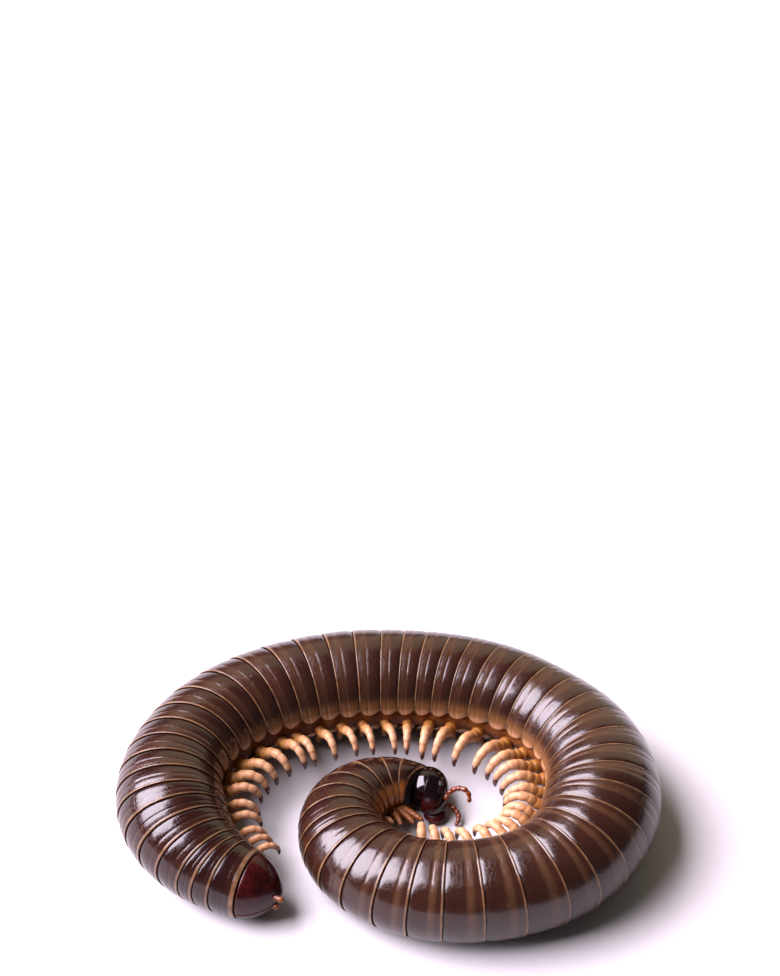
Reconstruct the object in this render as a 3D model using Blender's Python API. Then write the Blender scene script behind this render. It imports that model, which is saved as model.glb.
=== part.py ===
# Giant millipede, life size, lying coiled on its side with the head inside the coil.
# The body is a chain of telescoped rings swept along one flat, bending axis, with two rows of
# 41 legs along its belly. Metres, +Z up.
import math

import bmesh
import bpy
import numpy as np
from mathutils import Matrix, Vector

# Driving dimensions: millimetres and degrees. The pieces are built in millimetres,
# and the last lines of the file bring them to metres with MM.
MM = 0.001
BODY_LENGTH = 110.0          # from the middle of the head to the tip of the tail, along the axis
LAST_RING_END = 106.9        # where the tail valves begin
GAP = 0.3                    # clear space between neighbouring pieces
SMALL_GAP = 0.15             # the same round the eyes, which are under a millimetre wide
HEAD_POINT = (3.441, 0.946)   # the middle of the head on the floor plan
HEAD_HEADING = 159.6         # direction in which the axis leaves the head, anticlockwise from +X

# How the axis bends to the left: distance from the head, and degrees of bend per millimetre
AXIS_BENDS = (
    (0, 11.5), (5, 9.5), (12, 10.1), (18, 5.7), (27, 3.0), (36, 6.1), (46, 5.0),
    (57, 3.8), (68, 1.3), (79, 2.5), (88, 4.9), (96, 6.6), (103, 5.7), (110, -3.0),
)
# Half thickness of the body: distance from the head, and radius
BODY_RADII = (
    (-2, 1.7), (0, 1.9), (2, 2.3), (5, 2.8), (9, 3.5), (14, 4.0), (22, 4.25), (30, 4.4),
    (41, 5.2), (54, 4.3), (72, 4.65), (90, 4.45), (98, 4.8), (103, 3.8), (107, 2.95), (111, 2.8),
)
# Where rings end: number behind the collar, and distance from the head. Those between are even
RING_ENDS = (
    (0, 1.3), (2, 3.73), (7, 12.15), (8, 13.35), (10, 16.87), (13, 23.58), (16, 31.73), (23, 46.2),
    (30, 62.11), (34, 69.62), (41, 85.92), (42, 87.98), (47, 97.55), (51, 103.43), (53, 105.17),
    (54, LAST_RING_END),
)
# How the rings fan: distance from the head, and by how many degrees a ring's outer side is turned to it
RING_TURNS = (
    (-0.4, 0), (1.15, 28), (3.7, 0), (7, -17), (10.8, -10), (13.4, 1), (21, 1), (31, -6), (40, -8),
    (50, -1), (60, 11), (64, 10), (72, 0), (85, -16), (88, -15), (94, 0), (97.5, 11), (104, 11), (106.2, 0),
)

# The ring: a narrow front that slips into the ring before it, and a wide free rear edge
RING_SIDES = 20
RING_PROFILE = ((0.0, 0.94), (0.35, 0.98), (1.0, 1.0))   # part of its length, part of the radius
BELLY_ANGLE = 190.0          # 0 outwards, 90 up, 180 into the coil
BELLY_HALF_WIDTH = 14.0
BELLY_DEPTH = 0.93
RINGS_PER_LENGTH = (4, 4, 5, 5, 5, 5, 5, 5, 5, 5, 5, 1)

# Legs: the upper row arches into the coil, the lower row is tucked under the flank
LEG_PLACES = (               # leg number, distance from the head: sparse in the tight bend
    (0, 2.2), (1, 3.1), (2, 4.2), (5, 14.2), (6, 18.0), (15, 39.4), (21, 55.0), (23, 61.5),
    (31, 81.9), (33, 88.4), (38, 101.0), (40, 104.5),
)
LEG_SIZES = (                # distance from the head, and size against a full leg
    (3.0, 0.62), (4.2, 0.48), (5.5, 0.3), (17, 0.3), (20, 0.95), (39, 0.95), (50, 1.08), (56, 1.08),
    (64, 0.98), (67, 0.84), (72, 0.83), (79, 0.9), (85, 1.0), (91, 1.03), (96, 0.9), (105, 0.72),
)
LEG_SWINGS = (               # distance from the head, and how far the legs lean forwards
    (2.9, 42), (3.5, 18), (4.4, -8), (8, 20), (30, 20), (40, 10), (50, -9), (62, -13), (66.8, -3),
    (69.3, 13), (88, 16), (93.4, -2), (96.1, -19), (101, -38), (104.5, -44),
)
LEG_LENGTH = 6.0
LEG_PITCH = ((0.0, -20.0), (0.33, 51.0), (0.66, -43.0), (1.0, -106.0))   # along the leg, degrees up
LEG_RISES = ((3.5, 0.1), (6, 0.5), (16, 1.0))   # distance from the head, and how high the legs arch
LEG_THICKNESS = ((0.0, 0.44), (0.4, 0.39), (0.62, 0.33), (0.82, 0.23), (1.0, 0.05))
LEG_STATIONS = (0.0, 0.2, 0.4, 0.62, 0.82, 1.0)
LEG_ROOT = (195.0, 0.88)     # angle round the body, part of the radius
THINNEST_LEG = 0.65          # a small leg is this thick at least, against a full one
LEG_SIDES = 5
LOWER_LEG = (                # angle round the body, height over the ring, half thickness
    (208.0, -0.6, 0.3), (209.0, 0.1, 0.3), (216.0, 0.28, 0.28),
    (225.0, 0.34, 0.25), (235.0, 0.36, 0.17), (241.0, 0.36, 0.05),
)
JOINT_ROOM = 0.9             # no leg stands nearer than this to a joint between two lengths
LOWEST_LEG = 0.45            # no leg's middle line comes nearer to the floor than this

# Head, in its own directions: forward, towards the belly, and up
HEAD_ROLL = 15.0             # the face is turned this far to the floor
HEAD_CENTRE = (-0.06, -0.16, 0.0)
HEAD_AXES = (1.9, 1.9, 1.9)
HEAD_BACK = 0.7
FACE_CENTRE = (0.81, 1.02, 0.0)
FACE_AXES = (1.24, 1.24, 1.24)
JAW_PLATE_CENTRE = (1.25, 1.85, -0.8)
JAW_PLATE_AXES = (1.0, 0.82, 0.55)
EYE_CENTRE = (1.18, -0.3, 1.3)
EYE_AXES = (0.34, 0.32, 0.22)
COLLAR_PROFILE = ((-0.4, 0.95), (0.0, 0.975), (0.45, 0.96), (0.85, 0.88))
COLLAR_BELLY = (30.0, 0.82)  # half width in degrees and depth of its open underside
ANTENNA_JOINTS = 7
ANTENNA_RADIUS = 0.23
RIGHT_ANTENNA = (
    (2.12, 0.13, 0.78), (2.72, -0.22, 1.4), (3.48, -0.25, 1.7), (4.0, 0.02, 1.52), (4.22, 0.6, 1.1),
)
LEFT_ANTENNA = (
    (2.35, 0.6, -0.65), (2.91, 0.81, -0.85), (3.29, 1.22, -0.9), (3.39, 1.67, -0.95), (3.33, 2.21, -1.0),
)

# Tail: two rounded valves that close like shutters, each with a small knob at its tip
TAIL_LENGTH = 3.1
TAIL_FULLNESS = 1.5          # a higher number makes the tail fuller at its root
TAIL_POINT = 0.65            # a lower number makes it blunter at the tip
TAIL_ROLL = 12.0             # the slit between the valves is turned this far from level
KNOB_RADIUS = 0.28
KNOB_LENGTH = 0.75

COLOURS = {                  # linear colour, roughness
    "ring_brown": ((0.035, 0.014, 0.008), 0.28),
    "head_black": ((0.010, 0.004, 0.005), 0.2),
    "jaw_red": ((0.085, 0.012, 0.006), 0.3),
    "antenna_red": ((0.25, 0.045, 0.012), 0.35),
    "eye_black": ((0.004, 0.004, 0.005), 0.15),
    "tail_red": ((0.05, 0.006, 0.005), 0.2),
}
STEP = 0.05                  # spacing of the points at which the axis is worked out


def smooth_values(stations, at):
    """Values read between the stations, then averaged over a few millimetres."""
    places, values = zip(*stations)
    window = 3.0
    offsets = np.linspace(-window / 2, window / 2, 9)
    return np.mean([np.interp(np.asarray(at) + o, places, values) for o in offsets], axis=0)


def trace_axis():
    """The bends are added up into a heading, and the headings into points, both ways from the head."""
    places = np.arange(-6.0, BODY_LENGTH + 4.0, STEP)
    bend = np.radians(np.interp(places, *zip(*AXIS_BENDS)))
    zero = int(np.argmin(np.abs(places)))
    heading = np.cumsum(bend) * STEP
    heading += math.radians(HEAD_HEADING) - heading[zero]
    x = np.cumsum(np.cos(heading)) * STEP
    y = np.cumsum(np.sin(heading)) * STEP
    return places, x - x[zero] + HEAD_POINT[0], y - y[zero] + HEAD_POINT[1], heading


AXIS = trace_axis()


def body_radius(at):
    return float(smooth_values(BODY_RADII, at))


def axis_frame(at):
    """Point on the axis, and the directions to the tail, out of the coil and up."""
    places, x, y, heading = AXIS
    turn = np.interp(at, places, heading)
    point = Vector((np.interp(at, places, x), np.interp(at, places, y), body_radius(at)))
    back = Vector((math.cos(turn), math.sin(turn), 0.0))
    out = Vector((math.sin(turn), -math.cos(turn), 0.0))
    return point, back, out, Vector((0.0, 0.0, 1.0))


def ring_places():
    """Where each ring starts and ends: read from the few rings that are placed."""
    return np.interp(np.arange(RING_ENDS[-1][0] + 1), *zip(*RING_ENDS))


def ring_turn(at):
    """How far a ring's plane is turned, as a slope."""
    return math.tan(math.radians(float(np.interp(at, *zip(*RING_TURNS)))))


def round_the_ring(at, angle):
    """Distance from the head of the point at this angle round a ring: the turn of its plane moves it."""
    return at - body_radius(at) * math.cos(math.radians(angle)) * ring_turn(at)


def add_object(name, vertices, faces, material):
    """A closed mesh object, in millimetres until the end."""
    mesh = bpy.data.meshes.new(name)
    mesh.from_pydata([tuple(v) for v in vertices], [], faces)
    form = bmesh.new()
    form.from_mesh(mesh)
    bmesh.ops.recalc_face_normals(form, faces=form.faces)
    form.to_mesh(mesh)
    form.free()
    if material:
        mesh.materials.append(MATERIALS[material])
    mesh.shade_smooth()
    mesh.set_sharp_from_angle(angle=math.radians(35))
    piece = bpy.data.objects.new(name, mesh)
    COLLECTION.objects.link(piece)
    return piece


def loft(name, sections, material=None):
    """Skin over a row of sections with equal numbers of points, closed by a fan of faces at each end."""
    count = len(sections[0])
    vertices = [point for section in sections for point in section]
    faces = []
    for start in (0, len(vertices) - count):
        middle = sum(vertices[start:start + count], Vector()) / count
        faces += [[start + i, start + (i + 1) % count, len(vertices)] for i in range(count)]
        vertices.append(middle)
    for row in range(len(sections) - 1):
        for i in range(count):
            j = (i + 1) % count
            a, b = row * count, (row + 1) * count
            faces.append([a + i, a + j, b + j, b + i])
    return add_object(name, vertices, faces, material)


def ring_section(at, scale, shift=0.0, belly=(BELLY_HALF_WIDTH, BELLY_DEPTH)):
    """A polygon round the axis whose flats lie on the circle, so its lowest flat is level with the floor.
    It stands in the ring's plane, moved square to that plane by the shift."""
    half_width, depth = belly
    _, back, out, up = axis_frame(at)
    square = (back + out * ring_turn(at)).normalized()
    section = []
    for side in range(RING_SIDES):
        angle = 360.0 * (side + 0.5) / RING_SIDES
        turn = math.radians(angle)
        place = round_the_ring(at, angle)
        point, _, out, up = axis_frame(place)
        reach = body_radius(place) * scale / math.cos(math.pi / RING_SIDES)
        if abs(angle - BELLY_ANGLE) < half_width:
            reach *= depth
        across = out * math.cos(turn) + up * math.sin(turn)
        section.append(point + across * reach + square * shift)
    return section


def tube(name, points, radii, sides, material=None):
    """A tapered tube along a row of points, with its sections square to the way it runs."""
    points = [Vector(p) for p in points]
    sections = []
    reference = Vector((0.0, 0.0, 1.0))
    for i, point in enumerate(points):
        along = (points[min(i + 1, len(points) - 1)] - points[max(i - 1, 0)]).normalized()
        if abs(along.dot(reference)) > 0.95:
            reference = Vector((1.0, 0.0, 0.0))
        side = along.cross(reference).normalized()
        top = side.cross(along).normalized()
        reference = top
        ring = []
        for k in range(sides):
            turn = 2 * math.pi * k / sides
            ring.append(point + side * (radii[i] * math.cos(turn)) + top * (radii[i] * math.sin(turn)))
        sections.append(ring)
    return loft(name, sections, material)


def ellipsoid(name, centre, axes, directions, segments=20, rings=12, material=None):
    """A sphere primitive drawn out along three directions, at its place."""
    form = bmesh.new()
    bmesh.ops.create_uvsphere(form, u_segments=segments, v_segments=rings, radius=1.0)
    matrix = Matrix([[directions[c][r] * axes[c] for c in range(3)] for r in range(3)])
    for vertex in form.verts:
        vertex.co = Vector(centre) + matrix @ vertex.co
    if matrix.determinant() < 0:
        bmesh.ops.reverse_faces(form, faces=form.faces)
    mesh = bpy.data.meshes.new(name)
    form.to_mesh(mesh)
    form.free()
    if material:
        mesh.materials.append(MATERIALS[material])
    mesh.shade_smooth()
    piece = bpy.data.objects.new(name, mesh)
    COLLECTION.objects.link(piece)
    return piece


def cut_flat(piece, point, normal):
    """Everything on the far side of a plane is cut off, and the cut is closed."""
    form = bmesh.new()
    form.from_mesh(piece.data)
    everything = list(form.verts) + list(form.edges) + list(form.faces)
    bmesh.ops.bisect_plane(form, geom=everything, plane_co=point, plane_no=normal,
                           clear_outer=True, dist=1e-6)
    rim = [edge for edge in form.edges if edge.is_boundary]
    if rim:
        bmesh.ops.edgeloop_fill(form, edges=rim)
    bmesh.ops.recalc_face_normals(form, faces=form.faces)
    form.to_mesh(piece.data)
    form.free()


def boolean(piece, others, operation):
    """Joins or cuts a piece with others in one step, and removes them."""
    if not others:
        return
    group = bpy.data.collections.new(piece.name + "_tools")
    bpy.context.scene.collection.children.link(group)
    for other in others:
        COLLECTION.objects.unlink(other)
        group.objects.link(other)
    modifier = piece.modifiers.new("join", "BOOLEAN")
    modifier.operation = operation
    modifier.solver = "EXACT"
    modifier.operand_type = "COLLECTION"
    modifier.collection = group
    bpy.context.view_layer.update()
    evaluated = piece.evaluated_get(bpy.context.evaluated_depsgraph_get())
    joined = bpy.data.meshes.new_from_object(evaluated)
    piece.modifiers.clear()
    piece.data = joined
    for other in list(group.objects):
        bpy.data.objects.remove(other, do_unlink=True)
    bpy.data.collections.remove(group)
    keep_largest(piece)


def keep_largest(piece):
    """Only the largest closed surface of a joined piece stays."""
    form = bmesh.new()
    form.from_mesh(piece.data)
    unseen = set(form.faces)
    groups = []
    while unseen:
        front = [unseen.pop()]
        group = list(front)
        while front:
            face = front.pop()
            for edge in face.edges:
                for near in edge.link_faces:
                    if near in unseen:
                        unseen.remove(near)
                        front.append(near)
                        group.append(near)
        groups.append(group)
    groups.sort(key=len)
    for group in groups[:-1]:
        bmesh.ops.delete(form, geom=group, context="FACES")
    loose = [vertex for vertex in form.verts if not vertex.link_faces]
    bmesh.ops.delete(form, geom=loose, context="VERTS")
    form.to_mesh(piece.data)
    form.free()
    piece.data.shade_smooth()
    piece.data.set_sharp_from_angle(angle=math.radians(35))


def legs_between(start, end):
    """Places of the legs of one length, kept clear of its two joints."""
    places = np.interp(np.arange(LEG_PLACES[-1][0] + 1), *zip(*LEG_PLACES))
    return [float(np.clip(p, start + JOINT_ROOM, end - JOINT_ROOM)) for p in places if start <= p < end]


def leg_arch(share):
    """Reach into the coil and rise at a share of the leg: its pitch added up in short steps."""
    steps = (np.arange(24) + 0.5) / 24
    pitch = np.radians(np.interp(steps * share, *zip(*LEG_PITCH)))
    return LEG_LENGTH * share * np.mean(np.cos(pitch)), LEG_LENGTH * share * np.mean(np.sin(pitch))


def upper_leg(name, at):
    """Leg of the upper side: out of the belly, up in an arch into the coil, and down to its claw."""
    point, back, out, up = axis_frame(at)
    scale = np.interp(at, *zip(*LEG_SIZES))
    swing = math.radians(np.interp(at, *zip(*LEG_SWINGS)))
    lift = np.interp(at, *zip(*LEG_RISES))
    turn = math.radians(LEG_ROOT[0])
    reach = body_radius(at) * LEG_ROOT[1]
    root = point + out * (reach * math.cos(turn)) + up * (reach * math.sin(turn))
    inward = -out * math.cos(swing) - back * math.sin(swing)
    points = [root + out * 0.5]
    radii = [LEG_THICKNESS[0][1] * max(scale, THINNEST_LEG)]
    for share in LEG_STATIONS:
        far, rise = leg_arch(share)
        points.append(root + inward * (far * scale) + up * (rise * scale * lift))
        radii.append(float(np.interp(share, *zip(*LEG_THICKNESS))) * max(scale, THINNEST_LEG))
    return tube(name, points, radii, LEG_SIDES)


def lower_leg(name, at):
    """Leg of the lower side, tucked down under the flank between the body and the floor."""
    point, _, out, up = axis_frame(at)
    radius = body_radius(at)
    scale = np.interp(at, *zip(*LEG_SIZES))
    points = []
    radii = []
    for angle, height, thick in LOWER_LEG:
        turn = math.radians(LOWER_LEG[0][0] + (angle - LOWER_LEG[0][0]) * scale)
        reach = radius + height
        place = point + out * (reach * math.cos(turn)) + up * (reach * math.sin(turn))
        place.z = max(place.z, LOWEST_LEG)
        points.append(place)
        radii.append(thick * max(scale, THINNEST_LEG))
    return tube(name, points, radii, LEG_SIDES)


def make_body():
    """The rings in lengths of a few, each one solid with its legs."""
    places = ring_places()
    ring = 0
    for number, rings in enumerate(RINGS_PER_LENGTH, start=1):
        first, last = ring, ring + rings
        sections = []
        legs = []
        for i in range(first, last):
            length = places[i + 1] - places[i]
            for part, scale in RING_PROFILE:
                shift = 0.0
                if i == first and part == 0.0:
                    shift = GAP / 2
                if i == last - 1 and part == 1.0:
                    shift = -GAP / 2
                sections.append(ring_section(places[i] + part * length, scale, shift))
        for at in legs_between(places[first], places[last]) if rings > 1 else ():
            root = round_the_ring(at, BELLY_ANGLE)
            legs.append(upper_leg("leg_up", root))
            legs.append(lower_leg("leg_low", root))
        name = f"body_{number:02d}" if rings > 1 else "tail_ring"
        piece = loft(name, sections, "ring_brown")
        boolean(piece, legs, "UNION")
        ring = last


def head_directions():
    point, back, out, up = axis_frame(0.0)
    roll = math.radians(HEAD_ROLL)
    belly = -out * math.cos(roll) - up * math.sin(roll)
    return point, (-back, belly, up * math.cos(roll) - out * math.sin(roll))


def head_place(local):
    """A point given forward, towards the belly and up from the middle of the head."""
    point, (forward, belly, up) = head_directions()
    return point + forward * local[0] + belly * local[1] + up * local[2]


def make_head():
    """Rounded capsule with the face bulging below it, a shallow socket for each eye, and the jaw plate
    that lies round the lower side of the face."""
    _, directions = head_directions()
    head = ellipsoid("head", head_place(HEAD_CENTRE), HEAD_AXES, directions, 28, 18, "head_black")
    face = ellipsoid("face", head_place(FACE_CENTRE), FACE_AXES, directions, 24, 16)
    sockets = []
    for side in (1, -1):
        eye = (EYE_CENTRE[0], EYE_CENTRE[1], EYE_CENTRE[2] * side)
        name = "eye_right" if side > 0 else "eye_left"
        ellipsoid(name, head_place(eye), EYE_AXES, directions, 12, 8, "eye_black")
        wide = [axis + SMALL_GAP for axis in EYE_AXES]
        sockets.append(ellipsoid(f"socket_{side}", head_place(eye), wide, directions, 14, 10))
    boolean(head, [face], "UNION")
    boolean(head, sockets, "DIFFERENCE")
    cut_flat(head, head_place((HEAD_BACK, 0, 0)), -directions[0])
    plate_place = head_place(JAW_PLATE_CENTRE)
    plate = ellipsoid("jaw_plate", plate_place, JAW_PLATE_AXES, directions, 24, 14, "jaw_red")
    wide = [axis + GAP for axis in FACE_AXES]
    room = ellipsoid("face_room", head_place(FACE_CENTRE), wide, directions, 24, 16)
    boolean(plate, [room], "DIFFERENCE")


def make_collar():
    """Smooth shield ring between the head and the first body ring."""
    sections = []
    for at, scale in COLLAR_PROFILE:
        sections.append(ring_section(at, scale, 0.0, COLLAR_BELLY))
    return loft("collum", sections, "head_black")


def curve_through(points, count):
    """Points spaced along a smooth curve through the given ones (Catmull-Rom blend)."""
    knots = [Vector(p) for p in points]
    knots = [knots[0] * 2 - knots[1]] + knots + [knots[-1] * 2 - knots[-2]]
    curve = []
    spans = len(knots) - 3
    for i in range(count):
        t = i / (count - 1) * spans
        span = min(int(t), spans - 1)
        t -= span
        a, b, c, d = knots[span:span + 4]
        curve.append(0.5 * (2 * b + (c - a) * t + (2 * a - 5 * b + 4 * c - d) * t * t
                            + (3 * b - a - 3 * c + d) * t ** 3))
    return curve


def make_antenna(name, route):
    """A bent feeler of beads: each joint swells towards its far end."""
    count = ANTENNA_JOINTS * 2 + 1
    points = [head_place(p) for p in curve_through(route, count)]
    radii = []
    for i in range(count):
        swell = 1.0 if i % 2 else 0.86
        radii.append(ANTENNA_RADIUS * swell)
    radii[-1] = ANTENNA_RADIUS * 0.5
    return tube(name, points, radii, 8, "antenna_red")


def make_tail():
    """The closed end: a blunt dome split level into two valves, with a knob on each."""
    point, back, out, up = axis_frame(LAST_RING_END)
    roll = math.radians(TAIL_ROLL)
    side_way = up * math.cos(roll) + out * math.sin(roll)
    slit_way = out * math.cos(roll) - up * math.sin(roll)
    radius = body_radius(LAST_RING_END) * 0.96
    for side, name in ((1, "tail_valve_right"), (-1, "tail_valve_left")):
        sections = []
        for i in range(7):
            part = min(i / 6, 0.985)
            reach = radius * (1 - part ** TAIL_FULLNESS) ** TAIL_POINT
            middle = point + back * (GAP + part * (TAIL_LENGTH - GAP))
            section = []
            for k in range(RING_SIDES):
                turn = 2 * math.pi * (k + 0.5) / RING_SIDES
                section.append(middle + out * (reach * math.cos(turn)) + up * (reach * math.sin(turn)))
            sections.append(section)
        valve = loft(name, sections, "tail_red")
        cut_flat(valve, point + side_way * (side * GAP / 2), side_way * -side)
        knob_root = point + back * (TAIL_LENGTH - 0.55) + side_way * (side * 0.5)
        knob_root += slit_way * (0.5 + 0.15 * (1 - side))
        stations = (-0.4, 0.4, 0.4 + KNOB_LENGTH * 0.7, 0.4 + KNOB_LENGTH)
        knob_points = [knob_root + back * station for station in stations]
        knob_radii = [KNOB_RADIUS * 0.8, KNOB_RADIUS * 0.85, KNOB_RADIUS, KNOB_RADIUS * 0.5]
        knob = tube(f"knob_{side}", knob_points, knob_radii, 8)
        boolean(valve, [knob], "UNION")


def make_materials():
    made = {}
    for name, (colour, roughness) in COLOURS.items():
        material = bpy.data.materials.new(name)
        material.use_nodes = True
        shader = material.node_tree.nodes["Principled BSDF"]
        shader.inputs["Base Color"].default_value = (*colour, 1.0)
        shader.inputs["Roughness"].default_value = roughness
        shader.inputs["Metallic"].default_value = 0.0
        made[name] = material
    return made


for old in list(bpy.data.objects):
    bpy.data.objects.remove(old, do_unlink=True)
COLLECTION = bpy.data.collections.new("millipede")
bpy.context.scene.collection.children.link(COLLECTION)
MATERIALS = make_materials()
make_head()
make_collar()
make_antenna("antenna_right", RIGHT_ANTENNA)
make_antenna("antenna_left", LEFT_ANTENNA)
make_body()
make_tail()
for made_piece in COLLECTION.objects:
    made_piece.data.transform(Matrix.Scale(MM, 4))
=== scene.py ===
import math

import bmesh
import bpy
import numpy as np
from mathutils import Matrix


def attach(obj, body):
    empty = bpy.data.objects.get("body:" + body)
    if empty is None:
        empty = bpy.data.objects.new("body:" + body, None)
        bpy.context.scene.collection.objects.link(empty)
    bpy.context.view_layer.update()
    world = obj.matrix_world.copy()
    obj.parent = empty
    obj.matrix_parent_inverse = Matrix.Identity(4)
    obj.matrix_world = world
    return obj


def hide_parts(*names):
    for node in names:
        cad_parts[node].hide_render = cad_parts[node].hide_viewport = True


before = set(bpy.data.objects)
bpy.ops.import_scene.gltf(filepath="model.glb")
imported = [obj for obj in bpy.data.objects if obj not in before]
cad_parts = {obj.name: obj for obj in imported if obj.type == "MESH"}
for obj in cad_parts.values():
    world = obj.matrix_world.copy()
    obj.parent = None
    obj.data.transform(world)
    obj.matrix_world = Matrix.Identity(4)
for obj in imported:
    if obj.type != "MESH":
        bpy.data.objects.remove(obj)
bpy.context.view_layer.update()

# ---- Body rings
# Each ring of a millipede is a hard shell plate that goes round the animal and ends in a rounded
# lobe beside the belly. The narrow front slips into the ring before it, and the rear edge is free,
# thin and tan. The plates are horn: dark brown and glossy; the lobes are paler, partly their own
# colour and partly a painted glow of light shining through them.
HEAD_POINT = (3.441, 0.946)          # where the axis starts at the head, millimetres
HEAD_HEADING = 159.6                 # and its direction there, towards the tail
AXIS_BENDS = (                       # millimetres along the axis, degrees of bend per millimetre
    (0, 11.5), (5, 9.5), (12, 10.1), (18, 5.7), (27, 3.0), (36, 6.1), (46, 5.0),
    (57, 3.8), (68, 1.3), (79, 2.5), (88, 4.9), (96, 6.6), (103, 5.7), (110, -3.0),
)
BODY_RADII = (                       # millimetres along the axis, half thickness
    (-2, 1.7), (0, 1.9), (2, 2.3), (5, 2.8), (9, 3.5), (14, 4.0), (22, 4.25), (30, 4.4),
    (41, 5.2), (54, 4.3), (72, 4.65), (90, 4.45), (98, 4.8), (103, 3.8), (107, 2.95), (111, 2.8),
)
RINGS = 54
RING_ENDS = (                        # rings counted from the head, millimetres along the axis
    (0, 1.3), (2, 3.73), (7, 12.15), (8, 13.35), (10, 16.87), (13, 23.58), (16, 31.73), (23, 46.2),
    (30, 62.11), (34, 69.62), (41, 85.92), (42, 87.98), (47, 97.55), (51, 103.43), (53, 105.17),
    (54, 106.9),
)
RING_TURNS = (                       # millimetres along the axis, how far a ring is turned, degrees
    (-0.4, 0), (1.15, 28), (3.7, 0), (7, -17), (10.8, -10), (13.4, 1), (21, 1), (31, -6), (40, -8),
    (50, -1), (60, 11), (64, 10), (72, 0), (85, -16), (88, -15), (94, 0), (97.5, 11), (104, 11),
    (106.2, 0),
)
RINGS_PER_LENGTH = (4, 4, 5, 5, 5, 5, 5, 5, 5, 5, 5, 1)
PLATE_ENDS = (-158.0, 178.0)         # where a plate's lobes end round the body: 0 outwards, 90 up
LOBE_CORNER = 1.10                   # rounding of a lobe's corners, millimetres
LOBE_BAND = 2.6                      # the lobe is pale over this width
LIP_ROUNDING = 0.26                  # the lobe's edge is rolled over this width
PLATE_THICKNESS = 0.12
REAR_EDGE = 0.155                    # width of the tan rear edge
LAST_REAR_EDGE = 0.42                # and on the ring before the tail
PLATE_FRONT = np.array([             # part of the plate before its rear edge, part of the radius
    (-0.18, 0.930), (-0.10, 0.943), (-0.02, 0.952), (0.02, 0.963), (0.06, 0.974), (0.11, 0.9815),
    (0.18, 0.9870), (0.27, 0.991), (0.38, 0.9930), (0.50, 0.9945), (0.585, 0.9945), (0.615, 0.9905),
    (0.65, 0.9895), (0.685, 0.9925), (0.74, 0.9955), (0.84, 0.9950), (0.93, 0.9925), (0.985, 0.9890),
    (1.0, 0.9890),
])
PLATE_REAR = np.array([              # part of the tan edge, part of the radius
    (0.12, 0.9925), (0.30, 0.9965), (0.55, 0.9975), (0.80, 0.9965), (0.94, 0.994), (1.0, 0.990),
])


def read(stations, at):
    """A value read from a short row of places and values, straight between them."""
    places, values = zip(*stations)
    return np.interp(at, places, values)


def body_radius(at):
    """Half thickness of the body, averaged over three millimetres."""
    near = [read(BODY_RADII, np.asarray(at) + shift) for shift in np.linspace(-1.5, 1.5, 9)]
    return np.mean(near, axis=0)


def trace_axis():
    """The bends added up are the heading, and the headings added up are the body's middle line."""
    step = 0.05
    places = np.arange(-6.0, 114.0, step)
    zero = int(np.argmin(np.abs(places)))
    heading = np.cumsum(np.radians(read(AXIS_BENDS, places))) * step
    heading += math.radians(HEAD_HEADING) - heading[zero]
    x = np.cumsum(np.cos(heading)) * step
    y = np.cumsum(np.sin(heading)) * step
    return places, x - x[zero] + HEAD_POINT[0], y - y[zero] + HEAD_POINT[1], heading


AXIS = trace_axis()
UP = np.array([0.0, 0.0, 1.0])


def axis_point(at):
    """Points on the axis, half the body's thickness over the floor, with the directions to the tail
    and out of the coil."""
    places, x, y, heading = AXIS
    turn = np.interp(at, places, heading)
    level = np.zeros_like(turn)
    point = np.stack([np.interp(at, places, x), np.interp(at, places, y), body_radius(at)], -1)
    back = np.stack([np.cos(turn), np.sin(turn), level], -1)
    out = np.stack([np.sin(turn), -np.cos(turn), level], -1)
    return point, back, out


def on_body(at, angle, part):
    """A point round the axis: out by the cosine of the angle and up by its sine, at this part of the
    radius. The place along the axis shifts with the angle, as the ring is turned."""
    at, angle, part = np.broadcast_arrays(at, angle, part)
    turn = np.radians(angle)
    at = at - body_radius(at) * np.cos(turn) * np.tan(np.radians(read(RING_TURNS, at)))
    point, _, out = axis_point(at)
    reach = (body_radius(at) * part)[..., None]
    turn = turn[..., None]
    return point + reach * (out * np.cos(turn) + UP * np.sin(turn))


def net(count, rows, columns):
    """Four-cornered faces between neighbouring points of several equal grids, as one array. Each row
    of a grid runs round, so its last point is joined to its first."""
    row, column = np.meshgrid(np.arange(rows - 1), np.arange(columns), indexing="ij")
    right = (column + 1) % columns
    row, below = row * columns, (row + 1) * columns
    faces = np.stack([row + column, row + right, below + right, below + column], -1).reshape(1, -1, 4)
    return (faces + (np.arange(count) * rows * columns)[:, None, None]).reshape(-1, 4)


def make_piece(name, points, faces, values, material):
    """Points in millimetres and four-cornered faces become one closed mesh in metres. Points that
    share a place are joined, which closes poles and seams, and all faces are turned outwards."""
    mesh = bpy.data.meshes.new(name)
    points = np.ascontiguousarray(points.reshape(-1, 3) * 0.001, dtype=np.float32)
    mesh.vertices.add(len(points))
    mesh.vertices.foreach_set("co", points.ravel())
    mesh.loops.add(faces.size)
    mesh.loops.foreach_set("vertex_index", faces.ravel().astype(np.int32))
    mesh.polygons.add(len(faces))
    mesh.polygons.foreach_set("loop_start", np.arange(0, faces.size, 4, dtype=np.int32))
    mesh.update(calc_edges=True)
    for title, value in values.items():
        layer = mesh.attributes.new(title, "FLOAT", "POINT")
        layer.data.foreach_set("value", np.ascontiguousarray(value, dtype=np.float32).ravel())
    form = bmesh.new()
    form.from_mesh(mesh)
    bmesh.ops.remove_doubles(form, verts=form.verts, dist=2e-7)
    bmesh.ops.recalc_face_normals(form, faces=form.faces)
    form.to_mesh(mesh)
    form.free()
    mesh.shade_smooth()
    mesh.materials.append(material)
    piece = bpy.data.objects.new(name, mesh)
    bpy.context.scene.collection.objects.link(piece)
    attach(piece, "root")
    return piece


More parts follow.
